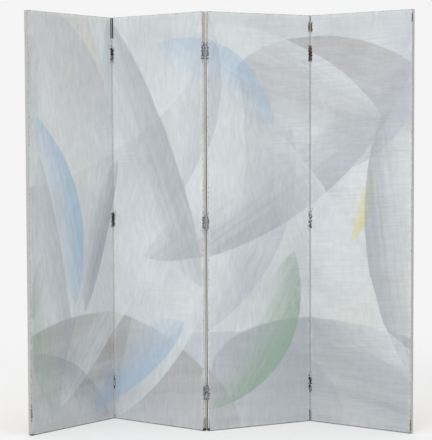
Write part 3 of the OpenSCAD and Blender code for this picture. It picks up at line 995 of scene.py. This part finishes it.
class SCREEN_OT_canvases(bpy.types.Operator):
    """Wrap each strainer in its painted cloth"""
    bl_idname = "screen.canvases"
    bl_label = "Painted canvases"

    def execute(self, context):
        canvas = context.scene.screen_canvas
        paint = context.scene.screen_paint
        face = painted_material(paint, canvas)
        margin = margin_material(paint, canvas)
        linen = linen_material(paint, canvas)
        for n in range(1, PANELS + 1):
            make_canvas(n, canvas, [face, margin, margin] + LININGS * [linen])
        return {"FINISHED"}


class SCREEN_OT_strainers(bpy.types.Operator):
    """Give the strainers' bars rounded edges and the grain of softwood"""
    bl_idname = "screen.strainers"
    bl_label = "Strainers"

    def execute(self, context):
        wood = context.scene.screen_wood
        for n in range(1, PANELS + 1):
            for i, bar in enumerate(BARS):
                node = f"panel_{n}_{bar}"
                upright = bar.endswith("stile")
                material = wood_material(f"{node}_wood", n, upright, 0.31 * n + 0.17 * i, wood)
                softened(node, f"{node}_bar", wood.arris, SHORTEST_BAR_EDGE, material)
        return {"FINISHED"}


class SCREEN_OT_hinges(bpy.types.Operator):
    """Give the hinges' leaves rounded edges, and the leaves, pins and screws their tarnish"""
    bl_idname = "screen.hinges"
    bl_label = "Hinges"

    def execute(self, context):
        metal = context.scene.screen_metal
        paint = context.scene.screen_paint
        for fold in range(1, FOLDS + 1):
            screws = steel_material(f"fold_{fold}_screw_steel", metal, paint, *SCREW_FINISH)
            for place in PLACES:
                rust, painted = HINGE_FINISH[fold, place]
                steel = steel_material(f"fold_{fold}_{place}_hinge_steel", metal, paint, rust, painted)
                for side in ("left", "right"):
                    node = f"fold_{fold}_{place}_hinge_{side}_leaf"
                    softened(node, f"{node}_plate", metal.arris, SHORTEST_LEAF_EDGE, steel)
            # A fold's three pins are one node, so they all take the steel of its last hinge.
            finish_node(f"fold_{fold}_hinge_pins", steel)
            for side in ("left", "right"):
                finish_node(f"fold_{fold}_{side}_screws", screws)
        return {"FINISHED"}


class SCREEN_OT_tacks(bpy.types.Operator):
    """Blue the tacks"""
    bl_idname = "screen.tacks"
    bl_label = "Tacks"

    def execute(self, context):
        material = tack_material(context.scene.screen_metal)
        for n in range(1, PANELS + 1):
            finish_node(f"panel_{n}_tacks", material)
        return {"FINISHED"}


# Stage

# Name, place and width of each lamp
LAMPS = (
    ("key", (-2.6, -5.5, 2.3), 3.5),
    ("fill", (3.4, -5.0, 2.0), 3.5),
    ("top", (0, 0.4, 5.2), 6.0),
)


def seen_by_eye(s):
    """1 for what the camera sees directly, in a mirror or through glass."""
    path = s.node("ShaderNodeLightPath").outputs
    mirrored = s.math("MAXIMUM", path["Is Glossy Ray"], path["Is Transmission Ray"])
    return s.math("MAXIMUM", path["Is Camera Ray"], mirrored)


def make_world(stage):
    """Even light from all round, seen as the backdrop's plain colour."""
    world = bpy.data.worlds.new("studio")
    world.use_nodes = True
    s = Shader(world.node_tree)
    light = s.node("ShaderNodeBackground", {"Color": (1, 1, 1, 1), "Strength": stage.sky})
    backdrop = s.node("ShaderNodeBackground", {"Color": (*stage.backdrop, 1), "Strength": 1.0})
    both = s.node("ShaderNodeMixShader", {0: seen_by_eye(s), 1: light.outputs[0], 2: backdrop.outputs[0]})
    s.node("ShaderNodeOutputWorld", {"Surface": both.outputs[0]})
    bpy.context.scene.world = world


def make_floor(stage):
    """A pale floor that keeps the shadow and runs out into the backdrop's colour."""
    mesh = bmesh.new()
    bmesh.ops.create_grid(mesh, x_segments=1, y_segments=1, size=30)
    material, s = new_shader("floor")
    x, y, _ = s.parts(s.object_place())
    distance = s.math("SQRT", s.math("ADD", s.math("MULTIPLY", x, x), s.math("MULTIPLY", y, y)))
    far = s.math("MULTIPLY", s.step(distance, 1.4, 3.2, 0.35, 1.0), seen_by_eye(s))
    grain = s.noise(s.object_place(), 60.0, 4.0)
    tone = s.mix(s.step(grain, 0.3, 0.7, 0.0, 0.02), stage.floor, stage.grain)
    matt = s.node("ShaderNodeBsdfDiffuse", {"Color": tone})
    backdrop = s.node("ShaderNodeEmission", {"Color": (*stage.backdrop, 1), "Strength": 1.0})
    both = s.node("ShaderNodeMixShader", {0: far, 1: matt.outputs[0], 2: backdrop.outputs[0]})
    s.node("ShaderNodeOutputMaterial", {"Surface": both.outputs[0]})
    new_piece("floor", mesh, [material])


def make_lamp(name, place, size, power):
    """A large square lamp that faces the middle of the screen."""
    light = bpy.data.lights.new(name, "AREA")
    light.size = size
    light.energy = power
    lamp = bpy.data.objects.new(name, light)
    towards = Vector((0, 0, HEIGHT / 2)) - Vector(place)
    lamp.matrix_world = Matrix.Translation(place) @ towards.to_track_quat("-Z", "Y").to_matrix().to_4x4()
    bpy.context.scene.collection.objects.link(lamp)


def make_camera(stage):
    """The camera of the photograph."""
    data = bpy.data.cameras.new("camera")
    data.sensor_width = 36
    data.lens = stage.lens
    camera = bpy.data.objects.new("camera", data)
    tilt = Matrix.Rotation(math.radians(90) + stage.camera_pitch, 4, "X")
    roll = Matrix.Rotation(stage.camera_roll, 4, "Z")
    camera.matrix_world = Matrix.Translation(stage.camera_place) @ tilt @ roll
    bpy.context.scene.collection.objects.link(camera)
    bpy.context.scene.camera = camera


class SCREEN_OT_stage(bpy.types.Operator):
    """Set the floor, the light and the camera"""
    bl_idname = "screen.stage"
    bl_label = "Stage"

    def execute(self, context):
        stage = context.scene.screen_stage
        make_world(stage)
        make_floor(stage)
        for name, place, size in LAMPS:
            make_lamp(name, place, size, getattr(stage, name))
        make_camera(stage)
        context.scene.view_settings.view_transform = "Standard"
        return {"FINISHED"}


class SCREEN_PT_sidebar(bpy.types.Panel):
    """Sizes and colours of the folding screen, and the steps that make it"""
    bl_idname = "SCREEN_PT_sidebar"
    bl_label = "Folding Screen"
    bl_space_type = "VIEW_3D"
    bl_region_type = "UI"
    bl_category = "Folding Screen"

    def draw(self, context):
        for operator in OPERATORS:
            self.layout.operator(operator.bl_idname)
        for name, group in GROUPS.items():
            box = self.layout.box()
            box.label(text=group.__doc__)
            for key in group.__annotations__:
                box.prop(getattr(context.scene, name), key)


GROUPS = {
    "screen_canvas": ScreenCanvas,
    "screen_paint": ScreenPaint,
    "screen_wood": ScreenWood,
    "screen_metal": ScreenMetal,
    "screen_stage": ScreenStage,
}
OPERATORS = (
    SCREEN_OT_canvases,
    SCREEN_OT_strainers,
    SCREEN_OT_hinges,
    SCREEN_OT_tacks,
    SCREEN_OT_stage,
)


def register():
    for group in GROUPS.values():
        bpy.utils.register_class(group)
    for operator in OPERATORS:
        bpy.utils.register_class(operator)
    bpy.utils.register_class(SCREEN_PT_sidebar)
    for name, group in GROUPS.items():
        setattr(bpy.types.Scene, name, PointerProperty(type=group))


def unregister():
    for name in GROUPS:
        delattr(bpy.types.Scene, name)
    bpy.utils.unregister_class(SCREEN_PT_sidebar)
    for operator in reversed(OPERATORS):
        bpy.utils.unregister_class(operator)
    for group in reversed(list(GROUPS.values())):
        bpy.utils.unregister_class(group)


def main():
    """Makes the screen and its stage."""
    register()
    bpy.ops.screen.canvases()
    bpy.ops.screen.strainers()
    bpy.ops.screen.hinges()
    bpy.ops.screen.tacks()
    bpy.ops.screen.stage()


if __name__ == "__main__":
    main()
